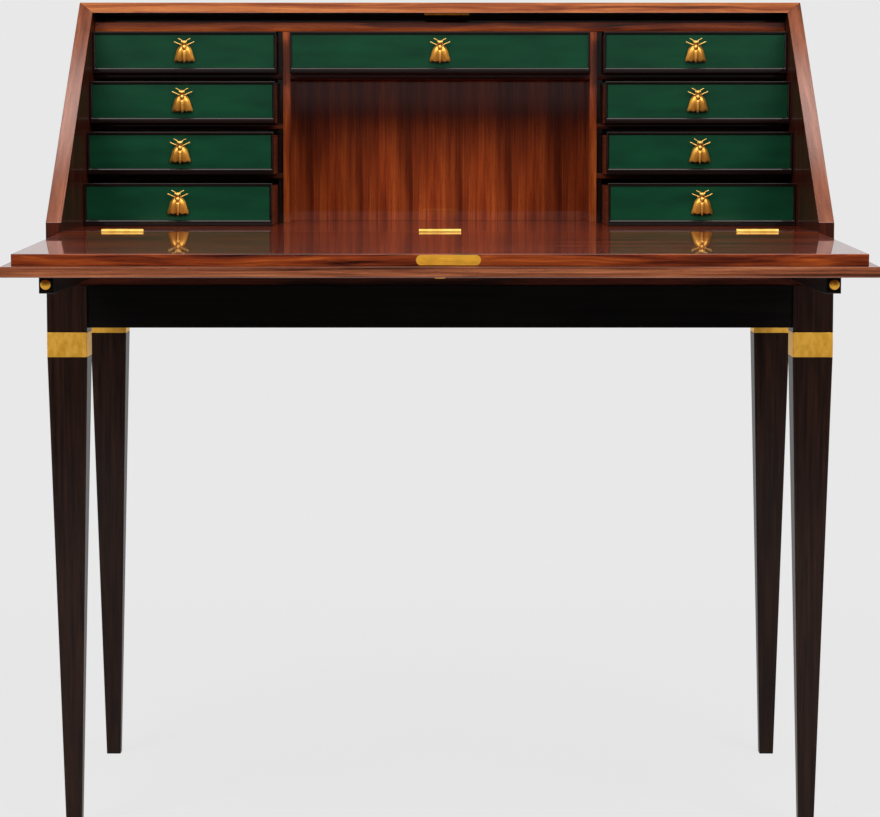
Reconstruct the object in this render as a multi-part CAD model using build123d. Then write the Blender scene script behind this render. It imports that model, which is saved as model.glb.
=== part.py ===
from build123d import *
import os
from math import asin, atan2, cos, degrees, hypot, pi, radians, sin

# Slant-front writing desk: a lacquered leg frame, a veneered case with a gallery of
# drawers, a fall that opens to a writing surface and two lopers that carry it.
# Millimetres. X runs to the right, Y to the back, Z up.  While the pieces are made the
# case front is at Y = 0; at the end all are moved so that the origin is on the floor
# below the middle of the open desk.

# ---- Overall sizes ----
WIDTH = 950.0
DEPTH = 496.0
HEIGHT = 1025.0
TOP_DEPTH = 129.2         # top board at its upper face, front to back
DESK_Z = 735.0            # writing surface above the floor
BASE_Z = 670.0            # top of the leg frame, where the case stands

# ---- Leg frame ----
LEG = 48.5                # square section of a leg at its block and collar
FOOT = 19.0               # square section of a leg at the floor
LEG_ARRIS = 1.2           # small chamfer along the leg's corners
COLLAR_TOP = 613.5
COLLAR_HEIGHT = 30.0
COLLAR_WALL = 1.5
COLLAR_ARRIS = 0.6
APRON_BOTTOM = 619.0
APRON_THICK = 18.0
APRON_SETBACK = 4.0       # apron face behind the leg's outer face

# ---- Case ----
SIDE = 19.0
TOP = 14.0
FLOOR = 14.0
BOTTOM = 6.0
BACK = 8.0
RAIL = 20.0               # front rail of the case, front to back
ARRIS = 0.8               # eased edge of a board

# ---- Fall and its hinges ----
HINGE_SETBACK = 6.4       # hinge line behind the front edges of the sides
FALL = 13.0               # thickness of the inner board, which closes between the sides
LIP = 11.5                # thickness of the outer board, which closes on their edges
LIP_SIDE = 10.7           # lip beyond the inner board at each end
LIP_FRONT = 12.5          # lip beyond the inner board at its free edge
LIP_SETBACK = 8.5         # lip short of the hinge line
FALL_GAP = 0.5            # between the inner board's ends and the sides
SEAT = 0.3                # between faces that close on each other
HINGE_GAP = 0.4           # desk floor and fall each stop this far from the hinge line
DROOP = 1.25              # degrees that the open fall hangs below level
HINGE_INSET = 73.0        # middle of an outer hinge from the inside of its side
HINGE_LENGTH = 51.0
KNUCKLES = 3
KNUCKLE_RADIUS = 3.5
KNUCKLE_GAP = 0.3
PIN_RADIUS = 1.5
PIN_FIT = 0.05            # radial clearance of a knuckle on its pin
LEAF = 1.2
LEAF_HEIGHT = 12.0

# ---- Lock ----
LOCK_OFFSET = 9.0         # lock plate to the right of the keyhole
LOCK_PLATE = (69.0, 11.0, 1.6)      # width, height, thickness
LOCK_CASE = (46.0, 9.0, 26.0)       # width, thickness, depth behind the plate
BOLT = (18.0, 4.0, 16.0)            # width, thickness, length
BOLT_FIT = 0.1
STRIKE = (59.0, 12.0, 1.5)          # width, front to back, thickness
STRIKE_LIP = 2.6          # catch that hangs at the strike's back edge
STRIKE_INSET = 4.0        # strike behind the lower front edge of the top
ESCUTCHEON_RADIUS = 6.5
ESCUTCHEON_THICK = 1.8
KEYHOLE_RADIUS = 1.7
ESCUTCHEON_SETBACK = 21.0 # behind the free edge of the lip

# ---- Lopers ----
LOPER = 16.5              # width
LOPER_HEIGHT = 20.0
LOPER_INSET = 25.7        # between a loper and the inside of its side
LOPER_LENGTH = 466.0
LOPER_OUT = 400.0         # how far the lopers stand pulled out
LOPER_FIT = 0.4
CHANNEL_WALL = 8.0
KNOB_TURNING = [          # radius and distance from the loper's end along the knob
    (2.6, 0.0),
    (2.6, 3.4),
    (5.4, 6.2),
    (5.4, 9.2),
    (2.8, 12.6),
]

# ---- Gallery ----
GALLERY_GAP = 11.5        # between the gallery and the top board
GALLERY_SETBACK = 30.0    # gallery behind the fronts of the top row
GALLERY_TOP = 12.5
SHELF = 7.0
DIVIDER = 10.0
DIVIDER_X = 197.8         # inner face of a divider from the middle
ROWS = 4
TOP_ROW_LESS = 3.0        # top row lower than the other three
GUIDE = 6.8               # side guide between a divider and its drawers
GUIDE_SETBACK = 2.0
CENTRE_PANEL = 4.0

# ---- Drawers ----
FALL_CLEAR = 5.4          # top row's fronts behind the closed fall
ROW_STEP = 38.0           # each lower row stands this much further forward
DRAWER_FIT = 0.3          # under a drawer
DRAWER_TOP_FIT = 0.9
DRAWER_SIDE_FIT = 0.6
DRAWER_BACK_FIT = 1.0
FRONT = 11.0
DRAWER_SIDE = 6.0
DRAWER_BOTTOM = 3.0
SIDE_DROP = 4.0           # drawer sides below the top of the front
PANEL_MARGIN = 3.2
PANEL_TOP_MARGIN = 4.0
PANEL_BOTTOM_MARGIN = 7.2
RECESS = 1.8              # panel face behind the frame
PANEL = 1.5
BEVEL = 1.4               # splay of the frame's inner edge

# ---- Bee-shaped pulls, seen from the front; heights are from the middle of a bee ----
BEE_WIDTH = 29.4          # across the wing tips
BEE_HEIGHT = 34.8         # feeler tips to tail
BEE_STAND = 3.0           # wings in front of the panel
BEE_POST = 2.6            # radius of the post that carries the bee
BEE_NECK = 7.6            # height of the neck
WING_RELIEF = 3.2         # thickness of a wing
WING_BEVEL = 1.2          # chamfer round the front of a wing
WING_SHOULDER = (7.4, 5.6)
WING_WAIST = (10.9, -3.4)
WING_TIP_Z = -11.6        # height of the outermost point of a wing
WING_TIP_CUT = 2.0        # blunt end of a wing, both ways
WING_NOTCH = (4.4, -11.0)
WING_HOLLOW = 0.6         # rise of the wing's lower edge over a straight line
BODY_SIDES = 10           # facets round the body
BODY_BANDS = [            # radius and height of the rings of head, thorax and abdomen
    (2.4, 14.6),
    (4.3, 12.4),
    (4.3, 9.8),
    (3.0, 7.6),
    (4.8, 5.0),
    (4.6, 2.6),
    (3.6, 0.6),
    (4.4, -2.6),
    (4.0, -8.0),
    (2.4, -13.4),
    (0.7, -17.4),
]
FEELER = 2.4              # width of a feeler or foreleg
FEELER_RELIEF = 2.6
FEELER_ROOT = (3.0, 11.0)
FEELER_TIP = (9.0, 17.0)
FORELEG_ROOT = (3.0, 7.0)
FORELEG_TIP = (14.0, 13.0)

# ---- Derived places ----
HALF = WIDTH / 2
INNER = HALF - SIDE
TOP_Z = HEIGHT - TOP
BACK_Y = DEPTH - BACK
GALLERY_Z = TOP_Z - GALLERY_GAP - GALLERY_TOP
ROW = (GALLERY_Z - DESK_Z - (ROWS - 1) * SHELF + TOP_ROW_LESS) / ROWS
TOP_ROW = ROW - TOP_ROW_LESS
FRONT_HEIGHT = TOP_ROW - DRAWER_FIT - DRAWER_TOP_FIT
COLLAR_Z = COLLAR_TOP - COLLAR_HEIGHT
NECK = LEG - 2 * COLLAR_WALL
FRONT_Y = HINGE_SETBACK + HINGE_GAP
EDGE_OFFSET = FALL - SEAT
RUN = DEPTH - TOP_DEPTH - HINGE_SETBACK
RISE = HEIGHT - DESK_Z
SLOPE = degrees(atan2(RISE, RUN) - asin(EDGE_OFFSET / hypot(RISE, RUN)))
SLOPE_SIN = sin(radians(SLOPE))
SLOPE_COS = cos(radians(SLOPE))
FALL_LENGTH = (TOP_Z - DESK_Z - 2 * SEAT - FALL * SLOPE_COS) / SLOPE_SIN
LIP_LENGTH = FALL_LENGTH + LIP_FRONT
HINGE_LINE = Axis((0, HINGE_SETBACK, DESK_Z), (1, 0, 0))
KNUCKLE = HINGE_LENGTH / KNUCKLES
HINGE_X = INNER - HINGE_INSET
HINGES = (-HINGE_X, 0.0, HINGE_X)
LIP_UNDER = DESK_Z - FALL - LIP
LOPER_TOP = LIP_UNDER - (LOPER_OUT - HINGE_SETBACK) * sin(radians(DROOP)) - SEAT
LOPER_Z = LOPER_TOP - LOPER_HEIGHT
LOPER_X = INNER - LOPER_INSET - LOPER
TOP_FRONT_RISE = GALLERY_Z - DRAWER_TOP_FIT - DESK_Z
TOP_FRONT_Y = HINGE_SETBACK + TOP_FRONT_RISE * SLOPE_COS / SLOPE_SIN + FALL_CLEAR
GALLERY_Y = TOP_FRONT_Y + GALLERY_SETBACK
DRAWER_X = DIVIDER_X + DIVIDER + GUIDE + DRAWER_SIDE_FIT
DRAWER_END = INNER - DRAWER_SIDE_FIT


def slab(x0, x1, y0, y1, z0, z1):
    """A board between two corners."""
    return Pos((x0 + x1) / 2, (y0 + y1) / 2, (z0 + z1) / 2) * Box(
        abs(x1 - x0), abs(y1 - y0), abs(z1 - z0)
    )


def both_sides(shape):
    """A piece and its mirror image across the middle of the desk."""
    return [shape, mirror(shape, about=Plane.YZ)]


def slope_y(z, offset):
    """Y at height z of the plane that lies offset outside the closed fall's inner face."""
    return HINGE_SETBACK + (SLOPE_COS * (z - DESK_Z) - offset) / SLOPE_SIN


def outline(points, plane, length):
    """A straight-edged outline extruded from its plane."""
    return extrude(plane * make_face(Polyline(*points, close=True)), amount=length)


# ---- Leg frame ----
def leg(x, y):
    """Square block, neck inside the collar, and shaft tapered on its four sides."""
    block = slab(-LEG / 2, LEG / 2, -LEG / 2, LEG / 2, COLLAR_TOP, BASE_Z)
    block = chamfer(block.edges().filter_by(Axis.Z), LEG_ARRIS)
    core = slab(-NECK / 2, NECK / 2, -NECK / 2, NECK / 2, COLLAR_Z, COLLAR_TOP)
    taper = slab(-LEG / 2, LEG / 2, -LEG / 2, LEG / 2, 0, COLLAR_Z)
    for turn in (0, 90, 180, 270):
        taper -= Rot(0, 0, turn) * taper_waste()
    corners = taper.edges().filter_by(lambda edge: edge.length > COLLAR_Z / 2)
    return Pos(x, y, 0) * (block + core + chamfer(corners, LEG_ARRIS))


def taper_waste():
    """Wedge sawn off one side of a leg below its collar."""
    points = [(LEG / 2, COLLAR_Z), (FOOT / 2, 0), (LEG, 0), (LEG, COLLAR_Z)]
    return outline(points, Plane.XZ.offset(-LEG), 2 * LEG)


def collar(x, y):
    """Brass sleeve round the neck of a leg."""
    sleeve = slab(-LEG / 2, LEG / 2, -LEG / 2, LEG / 2, COLLAR_Z, COLLAR_TOP)
    sleeve = chamfer(sleeve.edges().filter_by(Axis.Z), COLLAR_ARRIS)
    core = slab(-NECK / 2, NECK / 2, -NECK / 2, NECK / 2, COLLAR_Z, COLLAR_TOP)
    return Pos(x, y, 0) * (sleeve - core)


def leg_frame():
    leg_x = HALF - LEG / 2
    places = {
        "front_left": (-leg_x, LEG / 2),
        "front_right": (leg_x, LEG / 2),
        "rear_left": (-leg_x, DEPTH - LEG / 2),
        "rear_right": (leg_x, DEPTH - LEG / 2),
    }
    pieces = {f"leg_{name}": leg(*place) for name, place in places.items()}
    pieces["leg_collars"] = [collar(*place) for place in places.values()]
    span = HALF - LEG
    face = APRON_SETBACK
    pieces["aprons_front_rear"] = [
        slab(-span, span, y, y + APRON_THICK, APRON_BOTTOM, BASE_Z)
        for y in (face, DEPTH - face - APRON_THICK)
    ]
    pieces["aprons_side"] = both_sides(
        slab(HALF - face - APRON_THICK, HALF - face, LEG, DEPTH - LEG, APRON_BOTTOM, BASE_Z)
    )
    return pieces


# ---- Case ----
def case_side():
    """Right-hand side: upright front, sloping edge, top end mitred to the top board."""
    points = [
        (0, BASE_Z),
        (0, DESK_Z + (EDGE_OFFSET - HINGE_SETBACK * SLOPE_SIN) / SLOPE_COS),
        (slope_y(HEIGHT, EDGE_OFFSET), HEIGHT),
        (DEPTH, HEIGHT),
        (DEPTH, BASE_Z),
    ]
    side = outline(points, Plane.YZ.offset(INNER), SIDE)
    return side - mitre_waste(above=True)


def mitre_waste(above):
    """Wedge beyond the mitre between a side and the top, on the right."""
    tip = (HALF + SIDE, HEIGHT + TOP)
    foot = (INNER - SIDE, TOP_Z - TOP)
    far = (foot[0], tip[1]) if above else (tip[0], foot[1])
    return outline([tip, foot, far], Plane.XZ.offset(-2 * DEPTH), 3 * DEPTH)


def top_board():
    points = [
        (slope_y(TOP_Z, EDGE_OFFSET), TOP_Z),
        (slope_y(HEIGHT, EDGE_OFFSET), HEIGHT),
        (DEPTH, HEIGHT),
        (DEPTH, TOP_Z),
    ]
    board = outline(points, Plane.YZ.offset(-HALF), WIDTH)
    waste = mitre_waste(above=False)
    return board - waste - mirror(waste, about=Plane.YZ) - strike_plate()


def strike_plate():
    """Brass plate let into the underside of the top, with its catch hanging behind."""
    width, run, thick = STRIKE
    x0 = LOCK_OFFSET - width / 2
    y0 = slope_y(TOP_Z, EDGE_OFFSET) + STRIKE_INSET
    plate = slab(x0, x0 + width, y0, y0 + run, TOP_Z, TOP_Z + thick)
    catch = slab(x0, x0 + width, y0 + run - thick, y0 + run, TOP_Z - STRIKE_LIP, TOP_Z)
    return plate + catch


def hinge_pocket():
    """Room for the lower half of the barrels, in the boards on both sides of the line."""
    reach = HINGE_LENGTH / 2 + KNUCKLE_GAP
    return [
        Pos(x, HINGE_SETBACK, DESK_Z)
        * Rot(0, 90, 0)
        * Cylinder(KNUCKLE_RADIUS + SEAT, 2 * reach)
        for x in HINGES
    ]


def leaf_pocket(y0, y1):
    """Housings for three hinge leaves between two depths."""
    half = HINGE_LENGTH / 2
    return [slab(x - half, x + half, y0, y1, DESK_Z - LEAF_HEIGHT, DESK_Z) for x in HINGES]


def case():
    loper_slots = both_sides(
        slab(
            LOPER_X - LOPER_FIT,
            LOPER_X + LOPER + LOPER_FIT,
            0,
            DEPTH,
            LOPER_Z - SEAT,
            LOPER_TOP + LOPER_FIT,
        )
    )
    floor = slab(-INNER, INNER, FRONT_Y, BACK_Y, DESK_Z - FLOOR, DESK_Z)
    rail = slab(-INNER, INNER, FRONT_Y, FRONT_Y + RAIL, BASE_Z, DESK_Z - FLOOR)
    right = case_side()
    return {
        "side_right": right,
        "side_left": mirror(right, about=Plane.YZ),
        "top_board": top_board(),
        "strike_plate": strike_plate(),
        "desk_floor": floor - hinge_pocket() - leaf_pocket(FRONT_Y, FRONT_Y + LEAF),
        "front_rail": rail - loper_slots,
        "case_bottom": slab(
            -INNER, INNER, FRONT_Y + RAIL, BACK_Y, BASE_Z, BASE_Z + BOTTOM
        ),
        "back_panel": slab(-INNER, INNER, BACK_Y, DEPTH, BASE_Z, TOP_Z),
    }


# ---- Hinges ----
def hinge_leaf(x, y0, y1, first):
    """A leaf with every second knuckle, starting with the one numbered first."""
    half = HINGE_LENGTH / 2
    shoulder = DESK_Z - KNUCKLE_RADIUS - SEAT
    leaf = slab(x - half, x + half, y0, y1, DESK_Z - LEAF_HEIGHT, shoulder)
    bore = Pos(x, HINGE_SETBACK, DESK_Z) * Rot(0, 90, 0) * Cylinder(
        PIN_RADIUS + PIN_FIT, 2 * HINGE_LENGTH
    )
    for number in range(first, KNUCKLES, 2):
        x0 = x - half + number * KNUCKLE + KNUCKLE_GAP / 2
        x1 = x0 + KNUCKLE - KNUCKLE_GAP
        barrel = Pos((x0 + x1) / 2, HINGE_SETBACK, DESK_Z) * Rot(0, 90, 0) * Cylinder(
            KNUCKLE_RADIUS, x1 - x0
        )
        leaf += barrel + slab(x0, x1, y0, y1, shoulder, DESK_Z)
    return leaf - bore


def hinges():
    case_y = FRONT_Y
    fall_y = HINGE_SETBACK - HINGE_GAP
    pins = [
        Pos(x, HINGE_SETBACK, DESK_Z) * Rot(0, 90, 0) * Cylinder(PIN_RADIUS, HINGE_LENGTH)
        for x in HINGES
    ]
    case_leaves = [hinge_leaf(x, case_y, case_y + LEAF, 0) for x in HINGES]
    fall_leaves = [hinge_leaf(x, fall_y - LEAF, fall_y, 1) for x in HINGES]
    return case_leaves, fall_leaves, pins


# ---- Fall, modelled level and then let down by its droop ----
def lock_plate():
    """Face plate with round ends on the free edge of the inner board."""
    width, height, thick = LOCK_PLATE
    plane = Plane(
        origin=(LOCK_OFFSET, HINGE_SETBACK - FALL_LENGTH, DESK_Z - FALL / 2),
        x_dir=(1, 0, 0),
        z_dir=(0, 1, 0),
    )
    return extrude(plane * SlotOverall(width, height), amount=thick)


def lock_box(size, front, fit=0.0):
    """A block of the lock behind the free edge, centred in the inner board."""
    width, thick, depth = size
    y0 = HINGE_SETBACK - FALL_LENGTH + front
    z = DESK_Z - FALL / 2
    return slab(
        LOCK_OFFSET - width / 2 - fit,
        LOCK_OFFSET + width / 2 + fit,
        y0,
        y0 + depth + fit,
        z - thick / 2 - fit,
        z + thick / 2 + fit,
    )


def escutcheon():
    """Round keyhole plate on the outer face of the fall."""
    y = HINGE_SETBACK - LIP_LENGTH + ESCUTCHEON_SETBACK
    disc = Pos(0, y, LIP_UNDER - ESCUTCHEON_THICK / 2) * Cylinder(
        ESCUTCHEON_RADIUS, ESCUTCHEON_THICK
    )
    rim = disc.faces().sort_by(Axis.Z)[0].edges()
    disc = chamfer(rim, ESCUTCHEON_THICK / 2)
    bore = Pos(0, y, LIP_UNDER) * Cylinder(KEYHOLE_RADIUS, 3 * ESCUTCHEON_THICK)
    ward = slab(
        -KEYHOLE_RADIUS / 2,
        KEYHOLE_RADIUS / 2,
        y,
        y + 2 * KEYHOLE_RADIUS,
        LIP_UNDER - 2 * ESCUTCHEON_THICK,
        LIP_UNDER + ESCUTCHEON_THICK,
    )
    return disc - bore - ward


def fall(fall_leaves):
    end = INNER - FALL_GAP
    fall_y = HINGE_SETBACK - HINGE_GAP
    board = slab(-end, end, HINGE_SETBACK - FALL_LENGTH, fall_y, DESK_Z - FALL, DESK_Z)
    board = board - hinge_pocket() - leaf_pocket(fall_y - LEAF, fall_y)
    plate_thick = LOCK_PLATE[2]
    lock = lock_plate() + lock_box(LOCK_CASE, plate_thick)
    board = board - lock
    channel = (BOLT[0], BOLT[1], BOLT[2] + BOLT_FIT)
    lock = lock - lock_box(channel, 0, BOLT_FIT)
    lip_end = end + LIP_SIDE
    lip = slab(
        -lip_end,
        lip_end,
        HINGE_SETBACK - LIP_LENGTH,
        HINGE_SETBACK - LIP_SETBACK,
        LIP_UNDER,
        DESK_Z - FALL,
    )
    outer = lip.faces().sort_by(Axis.Z)[0].edges() + lip.edges().filter_by(Axis.Z)
    lip = chamfer(outer, ARRIS)
    pieces = {
        "fall_board": board,
        "fall_lip": lip,
        "fall_lock": lock,
        "lock_bolt": lock_box(BOLT, 0),
        "key_escutcheon": escutcheon(),
        "hinge_fall_leaves": fall_leaves,
    }
    return {name: hang(piece) for name, piece in pieces.items()}


def hang(piece):
    """Turn a level piece of the fall down to where it lies on the lopers."""
    if isinstance(piece, list):
        return [hang(solid) for solid in piece]
    return piece.rotate(HINGE_LINE, DROOP)


# ---- Lopers ----
def knob():
    """Turned brass knob, from the origin along -Y."""
    points = [(radius, -reach) for radius, reach in KNOB_TURNING]
    profile = make_face(Polyline((0, 0), *points, (0, points[-1][1]), close=True))
    return revolve(profile, Axis.Y)


def loper():
    """Right-hand loper and its knob, pulled out."""
    front = -LOPER_OUT
    bar = slab(
        LOPER_X, LOPER_X + LOPER, front, front + LOPER_LENGTH, LOPER_Z, LOPER_TOP
    )
    bar = chamfer(bar.faces().sort_by(Axis.Y)[0].edges(), ARRIS)
    centre = Pos(LOPER_X + LOPER / 2, front, (LOPER_Z + LOPER_TOP) / 2)
    return bar, centre * knob()


def loper_channel():
    """Right-hand channel that guides a loper between the front rail and the back."""
    x0 = LOPER_X - LOPER_FIT
    x1 = LOPER_X + LOPER + LOPER_FIT
    y0 = FRONT_Y + RAIL
    body = slab(
        x0 - CHANNEL_WALL, x1 + CHANNEL_WALL, y0, BACK_Y, BASE_Z + BOTTOM, LOPER_TOP
    )
    return body - slab(x0, x1, y0, BACK_Y, LOPER_Z - SEAT, LOPER_TOP)


# ---- Gallery ----
def row_floor(row):
    """Height of the shelf or floor that carries a row, counted from the bottom."""
    return DESK_Z + row * (ROW + SHELF)


def row_height(row):
    return TOP_ROW if row == ROWS - 1 else ROW


def gallery():
    divider_end = DIVIDER_X + DIVIDER
    depth = (GALLERY_Y, BACK_Y)
    shelves = []
    guides = []
    for row in range(ROWS):
        z0 = row_floor(row)
        if row:
            shelves += both_sides(slab(divider_end, INNER, *depth, z0 - SHELF, z0))
        guides += both_sides(
            slab(
                divider_end,
                divider_end + GUIDE,
                GALLERY_Y + GUIDE_SETBACK,
                BACK_Y,
                z0,
                z0 + row_height(row),
            )
        )
    centre_z = row_floor(ROWS - 1)
    shelves.append(slab(-DIVIDER_X, DIVIDER_X, *depth, centre_z - SHELF, centre_z))
    divider = slab(DIVIDER_X, divider_end, *depth, DESK_Z, GALLERY_Z)
    return {
        "gallery_top": slab(-INNER, INNER, *depth, GALLERY_Z, GALLERY_Z + GALLERY_TOP),
        "gallery_dividers": both_sides(divider),
        "gallery_shelves": shelves,
        "drawer_guides": guides,
        "centre_back_panel": slab(
            -DIVIDER_X, DIVIDER_X, BACK_Y - CENTRE_PANEL, BACK_Y, DESK_Z, centre_z - SHELF
        ),
    }


# ---- Drawers ----
def wing():
    """Right-hand wing, folded back: flared outer edge, blunt tip, hollow lower edge."""
    tip = (BEE_WIDTH / 2, WING_TIP_Z)
    foot = (tip[0] - WING_TIP_CUT, tip[1] - WING_TIP_CUT)
    hollow = (
        (WING_NOTCH[0] + foot[0]) / 2,
        (WING_NOTCH[1] + foot[1]) / 2 + WING_HOLLOW,
    )
    root = [WING_NOTCH, (0, WING_NOTCH[1]), (0, BEE_NECK)]
    points = [WING_SHOULDER, WING_WAIST, tip, foot, hollow, *root]
    blade = outline(points, Plane.XZ.offset(BEE_STAND), WING_RELIEF)
    return chamfer(blade.faces().sort_by(Axis.Y)[0].edges(), WING_BEVEL)


def feeler(root, tip):
    """Feeler or foreleg between two points of the front view."""
    reach = Vector(*tip) - Vector(*root)
    middle = (Vector(*tip) + Vector(*root)) / 2
    turn = degrees(atan2(reach.Y, reach.X))
    bar = Pos(middle.X, middle.Y) * Rot(0, 0, turn) * Rectangle(reach.length, FEELER)
    return extrude(Plane.XZ.offset(BEE_STAND) * bar, amount=FEELER_RELIEF)


def body_ring(radius, z):
    """Corners of one ring of the body."""
    turns = [2 * pi * (number + 0.5) / BODY_SIDES for number in range(BODY_SIDES)]
    return [(radius * cos(turn), radius * sin(turn), z) for turn in turns]


def bee_body():
    """Head, thorax and ringed abdomen along the bee's long axis, chased in facets."""
    rings = [body_ring(radius, z) for radius, z in BODY_BANDS]
    return [ConvexPolyhedron(upper + lower) for upper, lower in zip(rings, rings[1:])]


def bee():
    """Gilt bee that serves as a pull, centred, facing -Y, with its post to the panel."""
    half = BEE_WIDTH / 2
    middle = Pos(0, -BEE_STAND - WING_RELIEF / 2, 0)
    behind = slab(-half, half, -BEE_STAND, half, -BEE_HEIGHT, BEE_HEIGHT)
    shape = Part() + [middle * band - behind for band in bee_body()]
    shape += both_sides(wing())
    shape += both_sides(feeler(FEELER_ROOT, FEELER_TIP))
    shape += both_sides(feeler(FORELEG_ROOT, FORELEG_TIP))
    post = Rot(90, 0, 0) * Pos(0, 0, BEE_STAND / 2) * Cylinder(BEE_POST, BEE_STAND)
    return shape + post


def drawer(x0, x1, row, bee_pull):
    """Drawer of a row between two places: carcass, green panel and pull."""
    z0 = row_floor(row) + DRAWER_FIT
    z1 = z0 + FRONT_HEIGHT
    y0 = TOP_FRONT_Y - (ROWS - 1 - row) * ROW_STEP
    y1 = BACK_Y - DRAWER_BACK_FIT
    side_top = z1 - SIDE_DROP
    front = slab(x0, x1, y0, y0 + FRONT, z0, z1)
    panel_x0 = x0 + PANEL_MARGIN
    panel_x1 = x1 - PANEL_MARGIN
    panel_z0 = z0 + PANEL_BOTTOM_MARGIN
    panel_z1 = z1 - PANEL_TOP_MARGIN
    face = y0 + RECESS
    bed = slab(panel_x0, panel_x1, y0, face + PANEL, panel_z0, panel_z1)
    front = front - bed
    mouth = front.faces().sort_by(Axis.Y)[0].inner_wires()[0].edges()
    front = chamfer(mouth, BEVEL)
    carcass = [
        front,
        slab(x0, x0 + DRAWER_SIDE, y0 + FRONT, y1, z0, side_top),
        slab(x1 - DRAWER_SIDE, x1, y0 + FRONT, y1, z0, side_top),
        slab(x0 + DRAWER_SIDE, x1 - DRAWER_SIDE, y1 - DRAWER_SIDE, y1, z0, side_top),
        slab(
            x0 + DRAWER_SIDE,
            x1 - DRAWER_SIDE,
            y0 + FRONT,
            y1 - DRAWER_SIDE,
            z0,
            z0 + DRAWER_BOTTOM,
        ),
    ]
    panel = slab(panel_x0, panel_x1, face, face + PANEL, panel_z0, panel_z1)
    pull = Pos((x0 + x1) / 2, face, (panel_z0 + panel_z1) / 2) * bee_pull
    return {"box": carcass, "panel": panel, "bee": pull}


def drawers():
    bee_pull = bee()
    places = {}
    for row in range(ROWS):
        number = ROWS - row
        places[f"left_{number}"] = (-DRAWER_END, -DRAWER_X, row)
        places[f"right_{number}"] = (DRAWER_X, DRAWER_END, row)
    edge = DIVIDER_X - DRAWER_SIDE_FIT
    places["centre"] = (-edge, edge, ROWS - 1)
    pieces = {}
    for name, place in places.items():
        for part_name, piece in drawer(*place, bee_pull).items():
            pieces[f"drawer_{name}_{part_name}"] = piece
    return pieces


# ---- All pieces, in their nodes ----
case_leaves, fall_leaves, hinge_pins = hinges()
loper_bar, loper_knob = loper()
nodes = {
    **leg_frame(),
    **case(),
    **gallery(),
    "loper_channels": both_sides(loper_channel()),
    "hinge_case_leaves": case_leaves,
    "hinge_pins": hinge_pins,
    **fall(fall_leaves),
    "loper_right": loper_bar,
    "loper_left": mirror(loper_bar, about=Plane.YZ),
    "loper_knob_right": loper_knob,
    "loper_knob_left": mirror(loper_knob, about=Plane.YZ),
    **drawers(),
}

shapes = {
    name: Compound(piece) if isinstance(piece, list) else piece
    for name, piece in nodes.items()
}
extent = Compound(list(shapes.values())).bounding_box()
SHIFT = -(extent.min.Y + extent.max.Y) / 2

os.makedirs("parts", exist_ok=True)
for name, shape in shapes.items():
    export_step(Pos(0, SHIFT, 0) * shape, f"parts/{name}.step")
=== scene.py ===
import math

import bpy
from bpy.props import FloatProperty, FloatVectorProperty, PointerProperty
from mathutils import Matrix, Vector


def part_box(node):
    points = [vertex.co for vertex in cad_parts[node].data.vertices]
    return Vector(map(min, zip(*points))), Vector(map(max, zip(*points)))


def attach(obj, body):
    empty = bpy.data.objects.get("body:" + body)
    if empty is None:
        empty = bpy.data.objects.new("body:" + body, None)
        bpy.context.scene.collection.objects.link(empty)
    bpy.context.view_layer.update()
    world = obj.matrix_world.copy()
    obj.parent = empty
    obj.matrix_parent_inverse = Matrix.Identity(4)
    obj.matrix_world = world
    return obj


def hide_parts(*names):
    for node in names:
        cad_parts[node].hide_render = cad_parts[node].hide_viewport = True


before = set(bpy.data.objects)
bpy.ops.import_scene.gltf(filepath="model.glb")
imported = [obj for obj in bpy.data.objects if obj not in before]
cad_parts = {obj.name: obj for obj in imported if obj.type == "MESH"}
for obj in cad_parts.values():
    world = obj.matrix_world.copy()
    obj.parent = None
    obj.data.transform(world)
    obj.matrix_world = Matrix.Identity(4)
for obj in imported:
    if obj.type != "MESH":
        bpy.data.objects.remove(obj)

bl_info = {
    "name": "Slant-Front Writing Desk",
    "version": (1, 0, 0),
    "blender": (4, 5, 0),
    "location": "View3D > Sidebar > Writing Desk",
    "description": "Veneers, lacquer, brass and bee pulls for a slant-front writing desk",
    "category": "Object",
}

MM = 0.001
ROOT = "root"
IMAGE_WIDTH = 880
SENSOR_MM = 36.0
MERGE = 0.002 * MM
SHARP = math.radians(30)
SMOOTH = math.radians(50)
FLAT = math.radians(0.5)
MULTIPLY = {"data_type": "RGBA", "blend_type": "MULTIPLY"}
DRAWERS = [f"{side}_{row}" for side in ("left", "right") for row in (1, 2, 3, 4)] + ["centre"]

# ---- Drawer boards ----
FRONT = 11.0 * MM
DRAWER_SIDE = 6.0 * MM
DRAWER_BOTTOM = 3.0 * MM
SIDE_DROP = 4.0 * MM

# ---- Sloping front edge of the case ----
SLOPE = math.radians(37.25)

# ---- Bee pull, heights from its middle; X across, Y out of the panel, Z up ----
BEE_FOOT = 17.4 * MM  # middle of a bee above its lowest point
WING_ROWS = [  # inner and outer end of each row across a wing, (x, z) in mm
    ((0.0, 8.4), (3.4, 8.3)),
    ((0.0, 6.6), (6.4, 6.4)),
    ((0.0, 4.2), (8.9, 3.7)),
    ((0.0, 1.6), (10.4, 0.6)),
    ((0.0, -1.2), (11.3, -2.5)),
    ((0.2, -4.2), (12.1, -5.4)),
    ((0.5, -7.2), (13.0, -8.3)),
    ((0.9, -9.8), (14.0, -11.0)),
    ((1.4, -11.8), (14.1, -12.7)),
    ((2.2, -12.9), (12.7, -13.7)),
]
WING_RISE = [3.8, 5.2, 6.2, 6.6, 6.6, 6.4, 6.0, 5.5, 5.0, 4.5]  # crest of each row, mm
WING_COLUMNS = 9
WING_CREST = 0.35  # share of a wing's width at which it stands highest
WING_CURL = 2.2  # how far a wing falls back half its width away from its crest, mm
WING_THICK = 1.2
VEIN_ROWS = 3  # rows over which the veins rise from the shoulder
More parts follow.
